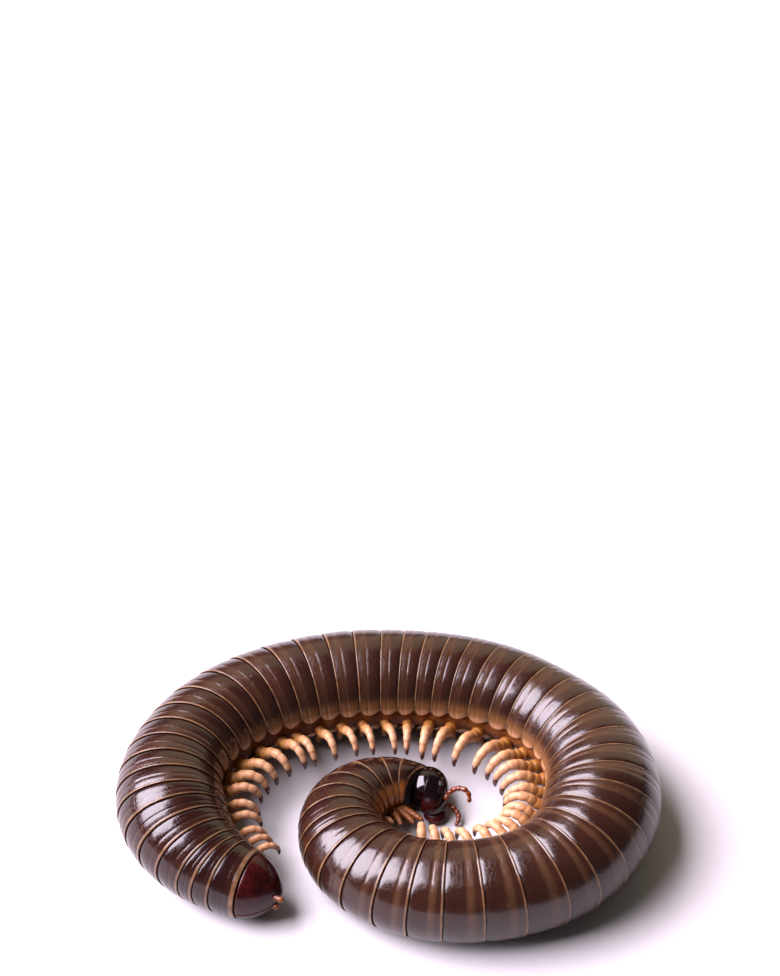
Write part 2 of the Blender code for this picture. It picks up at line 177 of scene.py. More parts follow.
class Nodes:
    """Shader nodes of one material, added and joined in the order in which they are written."""

    def __init__(self, name, roughness):
        self.material = bpy.data.materials.new(name)
        self.material.use_nodes = True
        self.tree = self.material.node_tree
        self.shader = self.tree.nodes["Principled BSDF"]
        self.shader.inputs["Roughness"].default_value = roughness
        self.place = self.tree.nodes.new("ShaderNodeTexCoord").outputs["Object"]

    def add(self, kind, **inputs):
        node = self.tree.nodes.new(kind)
        for key, value in inputs.items():
            socket = node.inputs[int(key[1:])] if key[0] == "_" else node.inputs[key.replace("_", " ")]
            if isinstance(value, bpy.types.NodeSocket):
                self.tree.links.new(value, socket)
            else:
                socket.default_value = value
        return node

    def value(self, title):
        node = self.tree.nodes.new("ShaderNodeAttribute")
        node.attribute_name = title
        return node.outputs["Fac"]

    def noise(self, size, detail=4.0, roughness=0.55):
        """Noise whose cells are about this many millimetres wide."""
        node = self.add("ShaderNodeTexNoise", Vector=self.place, Scale=1000.0 / size, Detail=detail,
                        Roughness=roughness)
        return node.outputs["Fac"]

    def ramp(self, value, stops, smooth=True):
        """Colours or greys placed along a value."""
        node = self.add("ShaderNodeValToRGB", Fac=value)
        ramp = node.color_ramp
        ramp.interpolation = "EASE" if smooth else "LINEAR"
        for index, (place, colour) in enumerate(stops):
            stop = ramp.elements[index] if index < 2 else ramp.elements.new(place)
            stop.position = place
            grey = isinstance(colour, (int, float))
            stop.color = (colour, colour, colour, 1) if grey else (*colour, 1)
        return node.outputs["Color"]

    def math(self, operation, first, second=0.5):
        node = self.add("ShaderNodeMath", _0=first, _1=second)
        node.operation = operation
        return node.outputs[0]

    def mix(self, part, first, second, blend="MIX"):
        node = self.tree.nodes.new("ShaderNodeMix")
        node.data_type = "RGBA"
        node.blend_type = blend
        for index, value in ((0, part), (6, first), (7, second)):
            if isinstance(value, bpy.types.NodeSocket):
                self.tree.links.new(value, node.inputs[index])
            else:
                node.inputs[index].default_value = value if index == 0 else (*value, 1)
        return node.outputs[2]

    def bump(self, height, distance, strength=1.0, under=None):
        """Relief whose full height is this many millimetres."""
        node = self.add("ShaderNodeBump", Height=height, Distance=distance * 0.001, Strength=strength)
        if under:
            self.tree.links.new(under, node.inputs["Normal"])
        return node.outputs["Normal"]

    def finish(self, colour, roughness, normal=None, **sockets):
        for socket, value in (("Base Color", colour), ("Roughness", roughness), ("Normal", normal)):
            if isinstance(value, bpy.types.NodeSocket):
                self.tree.links.new(value, self.shader.inputs[socket])
            elif value is not None:
                value = value if socket == "Roughness" else (*value, 1)
                self.shader.inputs[socket].default_value = value
        for key, value in sockets.items():
            self.shader.inputs[key.replace("_", " ")].default_value = value
        return self.material


def ring_horn():
    """Colour runs along each plate, darker towards the front with painted shade where it slips under
    the ring before, over a pale seam to the tan rear edge, and round it, from dark back to pale lobe,
    whose paleness is partly a painted glow and whose rolled edge carries a painted highlight. Near the
    head the lobes are painted amber, a painted glow of light through the horn. Fine wrinkles that run
    round the ring, dents and grains of dust break up the gloss."""
    n = Nodes("ring_horn", 0.2)
    along, edge, lobe, banded, tone = (n.value(t) for t in ("along", "edge", "lobe", "banded", "tone"))
    skin = n.add("ShaderNodeCombineXYZ", X=n.value("run"), Y=n.value("arc"), Z=n.value("chance"))
    cloud = n.noise(1.3, 5.0, 0.6)
    # Darker towards the plate's front: partly its own brown, and painted shade where it slips under the
    # rear edge of the ring before.
    back = n.ramp(along, (
        (0.0, (0.0075, 0.0016, 0.0017)), (0.10, (0.0090, 0.0019, 0.0020)),
        (0.5, (0.0135, 0.0038, 0.0029)), (0.8, (0.0180, 0.0056, 0.0036)),
        (1.0, (0.0220, 0.0070, 0.0042)),
    ))
    mottle = n.ramp(cloud, (
        (0.30, (0.72, 0.70, 0.74)), (0.5, (1.0, 1.0, 1.0)), (0.72, (1.55, 1.6, 1.35)),
    ))
    colour = n.mix(1.0, back, mottle, "MULTIPLY")
    colour = n.mix(n.math("MULTIPLY", tone, 0.7), colour, (0.035, 0.0140, 0.0065))
    band = n.ramp(along, ((0.50, 0.0), (0.60, 1.0), (0.72, 1.0), (0.82, 0.0)))
    patchy = n.ramp(n.noise(0.7, 3.0), ((0.3, 0.6), (0.7, 1.0)))
    band = n.math("MULTIPLY", n.math("MULTIPLY", band, banded), patchy)
    colour = n.mix(band, colour, (0.048, 0.021, 0.010))
    # Pale tan towards the lobe: partly its own colour, partly a painted glow of floor light shining
    # through, and brightest at the rolled edge with a painted highlight.
    pale = n.ramp(lobe, (
        (0.0, (0.55, 0.33, 0.20)), (0.10, (0.36, 0.19, 0.095)), (0.40, (0.150, 0.066, 0.024)),
        (1.0, (0.034, 0.013, 0.005)),
    ))
    colour = n.mix(n.ramp(lobe, ((0.0, 1.0), (0.35, 0.75), (0.9, 0.0))), colour, pale)
    # Near the head the lobes are painted amber: a painted glow of light shining through the thin horn.
    amber_glow = n.math("MULTIPLY", n.value("warm"), n.ramp(lobe, ((0.0, 1.0), (0.5, 0.8), (1.0, 0.0))))
    colour = n.mix(amber_glow, colour, (0.260, 0.085, 0.008))
    tan = n.ramp(n.noise(0.8, 3.0), ((0.35, 0.0), (0.65, 1.0)))
    tan = n.mix(tan, (0.150, 0.078, 0.036), (0.085, 0.042, 0.019))
    colour = n.mix(n.ramp(edge, ((0.0, 0.0), (0.30, 0.75), (0.7, 1.0), (1.0, 0.85))), colour, tan)
    speck = n.add("ShaderNodeTexVoronoi", Vector=n.place, Scale=1000.0 / 0.9)
    dust = n.ramp(speck.outputs["Distance"], ((0.030, 1.0), (0.060, 0.0)), smooth=False)
    chosen = n.ramp(speck.outputs["Color"], ((0.80, 0.0), (0.84, 0.7)), smooth=False)
    dust = n.math("MULTIPLY", dust, chosen)
    colour = n.mix(dust, colour, (0.32, 0.29, 0.26))
    skin = n.add("ShaderNodeMapping", Vector=skin.outputs[0], Scale=(5.0, 2.9, 20.0))
    wrinkle = n.add("ShaderNodeTexNoise", Vector=skin.outputs[0], Scale=1.0, Detail=5.0, Roughness=0.62,
                    Distortion=0.6).outputs["Fac"]
    crease = n.math("ABSOLUTE", n.math("SUBTRACT", wrinkle, 0.5))
    crease = n.ramp(crease, ((0.0, 0.0), (0.055, 0.85), (0.14, 1.0)))
    grain = n.noise(0.13, 4.0, 0.65)
    rough = n.ramp(wrinkle, ((0.30, 0.16), (0.46, 0.10), (0.60, 0.08), (0.75, 0.15)))
    rough = n.mix(dust, rough, (0.7, 0.7, 0.7))
    normal = n.bump(n.noise(1.1, 2.0), 0.014, 0.7)
    normal = n.bump(crease, 0.0034, 0.7, normal)
    normal = n.bump(grain, 0.0034, 0.55, normal)
    return n.finish(colour, rough, normal, IOR=1.46)


# Along the body: how brown the back is, how strong the lobes' painted amber glow is, and how pale the
# seam is
TONES = ((0, 0.0), (12, 0.2), (20, 0.45), (60, 0.45), (80, 0.35), (95, 0.15), (105, 0.0))
LOBE_GLOWS = ((1, 0.0), (1.3, 1.0), (9, 1.0), (16, 0.0))
BANDS = ((0, 0), (14, 0.2), (20, 1), (40, 0.9), (60, 0.5), (85, 0.5), (95, 0.15), (110, 0))


def plate_angles(count, radius, ends, fine=14):
    """Angles from one lobe to the other, closest together in the last millimetres of each."""
    degrees = np.degrees(1.5 / radius)
    near = degrees * np.linspace(0, 1, fine) ** 1.7
    middle = np.linspace(ends[0] + degrees, ends[1] - degrees, count - 2 * fine + 2)
    return np.concatenate([ends[0] + near, middle[1:-1], ends[1] - near[::-1]])


def plate(start, end, chance, columns=112, front=PLATE_FRONT, edge_width=REAR_EDGE, ends=PLATE_ENDS,
          corner=LOBE_CORNER):
    """One shell plate as a closed loop of points carried round the body. The loop runs along the
    outer face from front to rear and back along the inner face. Towards each lobe's end the loop
    gets shorter by a quarter circle, and its two faces come together in another."""
    length = end - start
    edge_width = min(edge_width, 0.5 * length)
    main = length - edge_width
    along = np.concatenate([front[:, 0] * main, main + PLATE_REAR[:, 0] * edge_width])
    height = np.concatenate([front[:, 1], PLATE_REAR[:, 1]])
    radius = float(body_radius((start + end) / 2))
    angle = plate_angles(columns, radius, ends)
    lobe = np.minimum(angle - ends[0], ends[1] - angle) * math.pi / 180 * radius
    cuts = []
    for rounding in (corner if isinstance(corner, tuple) else (min(corner, 0.49 * length),) * 2):
        left = 1 - np.clip(lobe / rounding, 0, 1)
        cuts.append(rounding * (1 - np.sqrt(np.clip(1 - left ** 2, 0, 1))))
    lip = np.sqrt(np.clip(1 - (1 - np.clip(lobe / LIP_ROUNDING, 0, 1)) ** 2, 0, 1))
    place = start + cuts[0][:, None] + along[None] * (1 - (cuts[0] + cuts[1]) / length)[:, None]
    half = 0.5 * PLATE_THICKNESS * (0.12 + 0.88 * lip)[:, None]
    sink = 0.010 * radius * np.clip(1 - lobe / 0.35, 0, 1)[:, None] ** 2
    skin = height[None] * radius - 0.5 * PLATE_THICKNESS - sink
    outer = (skin + half) / radius
    inner = (skin - half) / radius
    both_place = np.concatenate([place, place[:, ::-1]], 1)
    both_part = np.concatenate([outer, inner[:, ::-1]], 1)
    points = on_body(both_place, angle[:, None], both_part)
    share = np.broadcast_to(np.clip(along / length, 0, 1), place.shape)
    arc = np.radians(angle)[:, None] * radius
    rim = np.broadcast_to(np.clip((along - length + edge_width) / edge_width, 0, 1), place.shape)
    shape = both_place.shape
    values = {
        "along": np.concatenate([share, share[:, ::-1]], 1),
        "edge": np.concatenate([rim, rim[:, ::-1]], 1),
        "run": both_place, "arc": np.broadcast_to(arc, shape),
        "lobe": np.broadcast_to(np.clip(lobe / LOBE_BAND, 0, 1)[:, None], shape),
        "tone": np.full(shape, read(TONES, start)), "banded": np.full(shape, read(BANDS, start)),
        "warm": np.full(shape, read(LOBE_GLOWS, start)), "chance": np.full(shape, chance),
    }
    return points, values


def plate_faces(count, columns, loop):
    """The loops are skinned round, and a strip across each loop's two faces closes the lobe ends."""
    faces = [net(count, columns, loop)]
    half = loop // 2
    near = np.arange(half - 1)
    for column in (0, columns - 1):
        strip = np.stack([near, near + 1, loop - 2 - near, loop - 1 - near], -1) + column * loop
        faces.append((strip[None] + (np.arange(count) * columns * loop)[:, None, None]).reshape(-1, 4))
    return np.concatenate(faces)


RING_HORN = ring_horn()
ring_places = read(RING_ENDS, np.arange(RINGS + 1))
chances = np.random.default_rng(7).random(RINGS)
first = 0
for number, rings in enumerate(RINGS_PER_LENGTH, start=1):
    made = []
    for ring in range(first, first + rings):
        end, width = ring_places[ring + 1], REAR_EDGE
        if rings == 1:
            end, width = end - 0.05, LAST_REAR_EDGE
        made.append(plate(ring_places[ring], end, chances[ring], edge_width=width))
        if ring == 0:
            front_lip = made[0][1]["run"] < ring_places[0] - 0.09
            made[0][1]["edge"] = np.where(front_lip, 0.75, made[0][1]["edge"])
    points = np.stack([points for points, _ in made])
    values = {title: np.stack([value[title] for _, value in made]) for title in made[0][1]}
    node = f"body_{number:02d}" if rings > 1 else "tail_ring"
    title = f"rings_{number:02d}" if rings > 1 else "last_ring"
    rings_piece = make_piece(title, points, plate_faces(*points.shape[:3]), values, RING_HORN)
    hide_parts(node)
    first += rings

# ---- Belly
# Between the lobes lies the soft underside, dull amber brown, with a low swelling at every ring from
# which its legs grow. It runs inside the rings from the head to the tail, and is black at the neck.
BELLY_PART = 0.865                   # part of the body's radius
BELLY_SWELL = 0.085
SWELL_ANGLE = 197.0                  # the swelling's middle round the body, and its half width
SWELL_WIDTH = 20.0
BELLY_START, BELLY_END = 0.7, 106.6


def belly_skin():
    n = Nodes("belly_skin", 0.35)
    cloud = n.noise(0.8, 4.0)
    colour = n.ramp(cloud, (
        (0.3, (0.070, 0.017, 0.003)), (0.55, (0.115, 0.032, 0.005)), (0.75, (0.19, 0.062, 0.009)),
    ))
    colour = n.mix(n.value("neck"), colour, (0.0040, 0.0010, 0.0015))
    normal = n.bump(n.noise(0.22, 4.0), 0.02, 0.7)
    rough = n.ramp(cloud, ((0.3, 0.45), (0.7, 0.62)))
    return n.finish(colour, rough, normal, IOR=1.25, Subsurface_Weight=0.4,
                    Subsurface_Radius=(0.0009, 0.0003, 0.0001), Subsurface_Scale=1.0)


at = np.concatenate([[BELLY_START], np.linspace(BELLY_START, BELLY_END, 540), [BELLY_END]])
angle = np.linspace(0, 360, 72, endpoint=False)
swell = np.exp(-((angle - SWELL_ANGLE) / SWELL_WIDTH) ** 4)[None]
phase = np.interp(at, ring_places, np.arange(RINGS + 1)) % 1.0
beat = (0.5 - 0.5 * np.cos(2 * np.pi * phase))[:, None]
below = np.sqrt(np.clip(-np.sin(np.radians(angle - 10)), 0, 1))[None]
throat = read(((0.7, 0.0), (1.4, 0.05), (2.5, 0.03), (5.0, 0.0)), at)[:, None]
neck = read(((0.7, -0.07), (1.0, -0.02), (1.5, 0.045), (3.0, 0.045), (4.5, 0.0)), at)[:, None]
rising = np.clip((at - BELLY_START) / 3, 0, 1)[:, None]
swell = swell * BELLY_SWELL * (0.75 + 0.35 * beat) * rising
part = BELLY_PART + (throat * below + neck * (1 - below)) + swell
part[0] = part[-1] = 0.0
points = on_body(at[:, None], angle[None], part)
values = {"neck": np.clip((2.0 - at) / 0.4, 0, 1)[:, None] * (1 - below)}
belly = make_piece("belly", points, net(1, *points.shape[:2]), values, belly_skin())

# ---- Legs
# Slender legs of six joints, amber at the root and peach further out, each joint a little wider at
# its far end where it takes the next one. The upper row arches into the coil, the lower row is
# folded under the flank. Every leg ends in a dark, curved claw.
LEGS_PER_ROW = 41
LEG_PLACES = (                       # legs counted from the head, millimetres along the axis
    (0, 2.2), (1, 3.1), (2, 4.2), (5, 14.2), (6, 18.0), (15, 39.4), (21, 55.0), (23, 61.5),
    (31, 81.9), (33, 88.4), (38, 101.0), (40, 104.5),
)
LEG_SIZES = (                        # millimetres along the axis, size against a full leg
    (3.0, 0.62), (4.2, 0.48), (5.5, 0.3), (17, 0.3), (20, 0.95), (39, 0.95), (50, 1.08), (56, 1.08),
    (64, 0.98), (67, 0.84), (72, 0.83), (79, 0.9), (85, 1.0), (91, 1.03), (96, 0.9), (105, 0.72),
)
LEG_SWINGS = (                       # millimetres along the axis, degrees towards the head
    (2.9, 42), (3.5, 18), (4.4, -8), (8, 20), (30, 20), (40, 10), (50, -9), (62, -13), (66.8, -3),
    (69.3, 13), (88, 16), (93.4, -2), (96.1, -19), (101, -38), (104.5, -44),
)
LEG_LENGTH = 6.0
# Shares of a leg with its pitch, places with how high a leg arches, shares with its half thickness
LEG_PITCH = ((0.0, -20.0), (0.33, 51.0), (0.66, -43.0), (1.0, -106.0))
LEG_RISES = ((3.5, 0.1), (6, 0.5), (16, 1.0))
LEG_THICKNESS = ((0.0, 0.56), (0.2, 0.52), (0.4, 0.45), (0.6, 0.38), (0.82, 0.28))
LEG_ROOT = (195.0, 0.88)             # angle round the body, part of its radius
BELLY_ANGLE = 190.0                  # the belly's middle round the body
THINNEST_LEG = 0.65                  # a small leg is this thick at least, against a full one
LOWER_LEG = np.array([               # angle round the body, height over the ring
    (208.0, -0.6), (209.0, 0.1), (216.0, 0.28), (225.0, 0.34), (233.0, 0.36),
])
JOINT_ROOM = 0.9                     # no leg grows nearer to the ends of a length of rings
LOWEST_LEG = 0.45                    # middle line over the floor
CLAW_START = 0.80                    # share of the leg at which its claw begins
CLAW_POINTS = 11                     # points of a lower leg that make its claw
LEG_POINTS = 61                      # points of a leg's middle line, claw and all
LEG_JOINTS = 6
ROWS_PER_JOINT = 9
LEG_ROWS = LEG_JOINTS * ROWS_PER_JOINT + 1
LEG_SIDES = 12
CLAW_ROWS = 9
CLAW_SIDES = 10


def smooth_row(points, count):
    """Points spaced along a smooth curve through the given ones: at each, the Catmull-Rom blend of its
    four neighbours."""
    knots = np.concatenate([[2 * points[0] - points[1]], points, [2 * points[-1] - points[-2]]])
    t = np.linspace(0, len(points) - 1, count)
    span = np.minimum(t.astype(int), len(points) - 2)
    t = (t - span)[:, None]
    a, b, c, d = (knots[span + shift] for shift in range(4))
    square, cube = 2 * a - 5 * b + 4 * c - d, 3 * b - a - 3 * c + d
    return 0.5 * (2 * b + (c - a) * t + square * t ** 2 + cube * t ** 3)


def tube_points(line, radii, sides):
    """A tube along a line: at each point a circle square to the line, of the given radius."""
    along = np.gradient(line, axis=0)
    along /= np.linalg.norm(along, axis=1, keepdims=True)
    plane = np.cross(line[len(line) // 2] - line[0], line[-1] - line[0])
    if np.linalg.norm(plane) < 1e-3 * np.linalg.norm(line[-1] - line[0]) ** 2:
        plane = np.cross(line[-1] - line[0], [0.3, 0.4, 0.86])
    side = plane / np.linalg.norm(plane) + 0 * along
    side -= along * (side * along).sum(1, keepdims=True)
    side /= np.linalg.norm(side, axis=1, keepdims=True)
    top = np.cross(side, along)
    turn = np.linspace(0, 2 * np.pi, sides, endpoint=False)[None, :, None]
    ring = side[:, None] * np.cos(turn) + top[:, None] * np.sin(turn)
    return line[:, None] + ring * np.asarray(radii)[:, None, None]


def jointed(radii, joints, swell=0.10):
    """Radii that grow along each joint as a sine wave rises, and fall back straight at its end."""
    phase = np.linspace(0, joints, len(radii)) % 1.0
    phase[-1] = 1.0
    shape = 1 - swell + swell * 1.5 * np.sin(np.clip(phase / 0.86, 0, 1) * math.pi * 0.62)
    return radii * np.where(phase > 0.86, shape - swell * 6.5 * (phase - 0.86), shape)


def leg_arch(shares):
    """Reach into the coil and rise at shares of a leg: the cosine and the sine of its pitch added up."""
    fine = np.linspace(0, 1, 241)
    pitch = np.radians(read(LEG_PITCH, fine))
    reach = np.concatenate([[0], np.cumsum(np.cos(pitch[1:]))]) / 240 * LEG_LENGTH
    rise = np.concatenate([[0], np.cumsum(np.sin(pitch[1:]))]) / 240 * LEG_LENGTH
    return np.interp(shares, fine, reach), np.interp(shares, fine, rise)


def upper_leg(at, turned, lifted):
    """Middle line of a leg of the upper row, from inside the belly to the tip of its claw."""
    point, back, out = axis_point(at)
    size = float(read(LEG_SIZES, at))
    swing = math.radians(float(read(LEG_SWINGS, at)) + turned)
    turn = math.radians(LEG_ROOT[0])
    root = point + body_radius(at) * LEG_ROOT[1] * (out * math.cos(turn) + UP * math.sin(turn))
    shares = np.linspace(0, 1, LEG_POINTS)
    reach, rise = leg_arch(shares)
    inward = -out * math.cos(swing) - back * math.sin(swing)
    rise = (rise + lifted * shares ** 2) * float(read(LEG_RISES, at))
    return root + (inward * reach[:, None] + UP * rise[:, None]) * size, size


def lower_leg(at):
    """Middle line of a leg of the lower row, tucked under the flank."""
    point, _, out = axis_point(at)
    size = float(read(LEG_SIZES, at))
    turn = np.radians(LOWER_LEG[0, 0] + (LOWER_LEG[:, 0] - LOWER_LEG[0, 0]) * size)[:, None]
    reach = body_radius(at) + LOWER_LEG[:, 1:2]
    place = point + reach * (out * np.cos(turn) + UP * np.sin(turn))
    place[:, 2] = np.maximum(place[:, 2], LOWEST_LEG)
    line = smooth_row(place, LEG_POINTS - CLAW_POINTS)
    tip = line[-1] - line[-2]
    tip /= np.linalg.norm(tip)
    claw = line[-1] + tip * np.linspace(0.08, 0.75, CLAW_POINTS)[:, None] * max(size, THINNEST_LEG)
    return np.concatenate([line, claw]), size


def leg_skin():
    n = Nodes("leg_skin", 0.3)
    reach, joint = n.value("reach"), n.value("joint")
    cloud = n.noise(0.5, 4.0)
    colour = n.ramp(reach, (
        (0.0, (0.110, 0.030, 0.003)), (0.12, (0.21, 0.078, 0.009)), (0.26, (0.30, 0.132, 0.030)),
        (0.45, (0.36, 0.185, 0.078)), (0.75, (0.38, 0.215, 0.118)), (1.0, (0.36, 0.195, 0.105)),
    ))
    # Deeper amber where tint is set: the first legs' own colour, and painted shade on the lower row under
    # the flank.
    colour = n.mix(n.value("tint"), colour, (0.150, 0.045, 0.006))
    mottle = n.ramp(cloud, ((0.3, (0.84, 0.80, 0.76)), (0.7, (1.14, 1.14, 1.12))))
    colour = n.mix(1.0, colour, mottle, "MULTIPLY")
    seam = n.ramp(joint, ((0.0, 1.0), (0.08, 0.0), (0.84, 0.0), (0.93, 1.0)))
    colour = n.mix(n.math("MULTIPLY", seam, 0.65), colour, (0.20, 0.075, 0.025))
    normal = n.bump(n.noise(0.14, 4.0), 0.006, 0.6)
    rough = n.ramp(cloud, ((0.3, 0.36), (0.7, 0.52)))
    return n.finish(colour, rough, normal, IOR=1.4, Subsurface_Weight=0.5,
                    Subsurface_Radius=(0.0007, 0.00035, 0.00018), Subsurface_Scale=1.0)


def claw_horn():
    n = Nodes("claw_horn", 0.25)
    colour = n.ramp(n.value("reach"), (
        (0.0, (0.20, 0.065, 0.020)), (0.12, (0.065, 0.018, 0.008)), (1.0, (0.022, 0.007, 0.005)),
    ))
    return n.finish(colour, 0.25, n.bump(n.noise(0.1, 3.0), 0.004, 0.5))


def along_line(line, places):
    """Points of a line at these places, which are counted in the line's own points."""
    return np.stack([np.interp(places, np.arange(len(line)), line[:, axis]) for axis in range(3)], 1)


def claw_points(line, radius):
    """A claw along the last stretch of a leg's line: widest at its root, hooked and pointed."""
    share = np.linspace(0, 1, CLAW_ROWS)
    hook = line[int(CLAW_START * (LEG_POINTS - 1)):]
    radii = radius * np.interp(share, (0, 0.08, 0.3, 0.6, 0.85, 1), (0, 1.0, 0.96, 0.80, 0.46, 0))
    return tube_points(along_line(hook, share * (len(hook) - 1)), radii, CLAW_SIDES)


LOWER_SLIMNESS = 0.62                # thickness of the lower row against the upper
# The lower row's deeper amber is painted shade under the flank; the first legs' deeper amber is their own
# colour.
LOWER_SHADE_TINT = 0.85                    # the lower row is a deeper amber, and so are the first legs
FRONT_TINTS = ((3.8, 1.0), (6, 0.0))
LEG_SKIN, CLAW_HORN = leg_skin(), claw_horn()
leg_dice = np.random.default_rng(11)
leg_places = read(LEG_PLACES, np.arange(LEGS_PER_ROW))
first = 0
for number, rings in enumerate(RINGS_PER_LENGTH[:-1], start=1):
    start, end = ring_places[first], ring_places[first + rings]
    first += rings
    places = leg_places[(leg_places >= start) & (leg_places < end)]
    places = np.clip(places, start + JOINT_ROOM, end - JOINT_ROOM)
    swings = np.tan(np.radians(read(RING_TURNS, places)))
    roots = places - body_radius(places) * math.cos(math.radians(BELLY_ANGLE)) * swings
    for row in ("upper", "lower"):
        grids, claws, tints = [], [], []
        for at in roots:
            turned, lifted = leg_dice.uniform(-3, 3), leg_dice.uniform(-0.12, 0.12)
            line, size = upper_leg(at, turned, lifted) if row == "upper" else lower_leg(at)
            path = along_line(line, np.linspace(0, CLAW_START + 0.02, LEG_ROWS) * (LEG_POINTS - 1))
            thick = read(LEG_THICKNESS, np.linspace(0, CLAW_START, LEG_ROWS)) * max(size, THINNEST_LEG)
            thick = thick if row == "upper" else thick * LOWER_SLIMNESS
            radii = jointed(thick, LEG_JOINTS)
            radii[[0, -1]] = 0
            radii[-2] *= 0.8
            grids.append(tube_points(path, radii, LEG_SIDES))
            claws.append(claw_points(line, thick[-1] * 0.84))
            tints.append(float(read(FRONT_TINTS, at)) if row == "upper" else LOWER_SHADE_TINT)
        share = np.linspace(0, 1, LEG_ROWS)
        shape = (len(grids), LEG_ROWS, LEG_SIDES)
        values = {"reach": np.broadcast_to(share[None, :, None], shape),
                  "joint": np.broadcast_to((share * LEG_JOINTS % 1.0)[None, :, None], shape),
                  "tint": np.broadcast_to(np.array(tints)[:, None, None], shape)}
        piece = make_piece(f"legs_{row}_{number:02d}", np.stack(grids), net(*shape), values, LEG_SKIN)
        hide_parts(f"body_{number:02d}")
        shape = (len(claws), CLAW_ROWS, CLAW_SIDES)
        values = {"reach": np.broadcast_to(np.linspace(0, 1, CLAW_ROWS)[None, :, None], shape)}
        piece = make_piece(f"claws_{row}_{number:02d}", np.stack(claws), net(*shape), values, CLAW_HORN)

# ---- Collar
# The first ring is a smooth shield, as black and glossy as the head that it covers from behind. It
# reaches down round the throat, where its thin margin is painted amber, a painted glow of light shining
# through it.
COLLAR = np.array([                  # part of the shield before its rear edge, part of the dome
    (0.0, 0.965), (0.010, 0.985), (0.03, 0.995), (0.08, 1.0), (0.2, 1.002), (0.4, 1.003), (0.6, 1.003),
    (0.8, 1.003), (0.92, 1.002), (1.0, 1.0),
])
COLLAR_REACH = (-0.88, 1.95)         # from front to rear along the axis
COLLAR_ENDS = (-112.0, 219.0)        # where it ends round the body
COLLAR_CORNERS = (0.3, 0.7)          # rounding of its front and rear corners
# The middle of the dome: forwards, to the belly and up from the start of the axis
DOME_CENTRE = np.array([-0.06, -0.16, 0.0])
DOME_RADIUS = 1.93
COLLAR_THICKNESS = 0.045             # part of the dome's radius
dome_point, dome_back, dome_out = axis_point(0.0)
DOME_FRAME = np.array([-dome_back, -dome_out, UP])


def dome_ways(points):
    """Directions from the middle of the dome to the points of a plate that lies round the body: each
    difference divided by its length."""
    away = (points - dome_point) @ DOME_FRAME.T - DOME_CENTRE
    return away / np.linalg.norm(away, axis=-1, keepdims=True)


def black_gloss(name):
    """Purplish black horn, very glossy, with shallow dents and fine grain: its nodes, colour,
    roughness and relief."""
    n = Nodes(name, 0.1)
    cloud = n.noise(0.9, 4.0)
    colour = n.ramp(cloud, ((0.3, (0.0022, 0.0006, 0.0011)), (0.7, (0.0048, 0.0013, 0.0022))))
    normal = n.bump(n.noise(0.55, 3.0), 0.005, 0.6)
    normal = n.bump(n.noise(0.13, 4.0), 0.0011, 0.6, normal)
    return n, colour, n.ramp(n.noise(0.25, 5.0), ((0.35, 0.07), (0.7, 0.15))), normal


def collar_horn():
    n, colour, rough, normal = black_gloss("collar_horn")
    # The thin margin is painted amber: a painted glow of light shining through it.
    margin_glow = n.ramp(n.value("lobe"), ((0.0, 1.0), (0.07, 0.85), (0.15, 0.2), (0.30, 0.0)))
    colour = n.mix(margin_glow, colour, (0.26, 0.085, 0.014))
    colour = n.mix(n.ramp(n.value("edge"), ((0.0, 0.0), (0.5, 1.0))), colour, (0.120, 0.055, 0.020))
    return n.finish(colour, rough, normal, IOR=1.5)


points, values = plate(*COLLAR_REACH, 0.4, front=COLLAR, edge_width=0.13, ends=COLLAR_ENDS,
                       corner=COLLAR_CORNERS)
skin = np.concatenate([COLLAR[:, 1], PLATE_REAR[:, 1] + 0.006]) - 0.02
bevel = np.clip(values["lobe"][:, :1] * LOBE_BAND / LIP_ROUNDING, 0, 1)
depth = COLLAR_THICKNESS * (0.15 + 0.85 * np.sqrt(1 - (1 - bevel) ** 2))
part = np.concatenate([skin + depth / 2, (skin - depth / 2)[:, ::-1]], 1)
away = DOME_CENTRE + dome_ways(points) * (part * DOME_RADIUS)[..., None]
points = (dome_point + away @ DOME_FRAME)[None]
values = {title: value[None] for title, value in values.items()}
collar = make_piece("collar", points, plate_faces(*points.shape[:3]), values, collar_horn())
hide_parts("collum")

# ---- Head
# The capsule is a black dome, and the face swells below it towards the mouth, where the horn turns
# dark red. The lip is a thin pale line along the lower border of the face. It is all one hard horn.
HEAD_ROLL = math.radians(15.0)
HEAD_RADIUS = 1.905                              # round the middle of the collar's dome
HEAD_REAR = 0.1                                  # a flat wall closes the capsule here, under the collar
FACE_CENTRE = np.array([0.81, 1.02, 0.0])
FACE_RADIUS = 1.24
HEAD_HEART = np.array([0.65, 0.45, 0.0])         # a point inside both, from which the skin is measured
LIP_FACING = np.array([0.255, 0.485, 0.834])     # the lip's line lies square to this
LIP_RISE = 0.10                                  # the lip's height on the face, in that direction
SOCKETS = ((1.85, 0.75, 0.32), (1.8, 0.75, -0.36))   # of the two feelers
HEAD_FRAME = np.array([
    -dome_back, -dome_out * math.cos(HEAD_ROLL) - UP * math.sin(HEAD_ROLL),
    UP * math.cos(HEAD_ROLL) - dome_out * math.sin(HEAD_ROLL),
])


def from_head(local):
    """Points given forwards, to the belly and up from the start of the axis, with the head's roll."""
    return dome_point + np.asarray(local) @ HEAD_FRAME


def bump_at(local, centre, width, height):
    """A soft swelling round a place: the height times a bell curve of the distance over the width."""
    away = (local - np.asarray(centre)) / np.asarray(width)
    return height * np.exp(-(away ** 2).sum(-1))


def unit_ball(rows, columns):
    """Directions of a ball with its poles fore and aft, which close the grid at both ends."""
    fall = np.linspace(0, np.pi, rows)[:, None]
    turn = np.linspace(0, 2 * np.pi, columns, endpoint=False)[None]
    across, up = np.sin(fall) * np.cos(turn), np.sin(fall) * np.sin(turn)
    return np.stack([np.cos(fall) * np.ones_like(turn), across, up], -1)


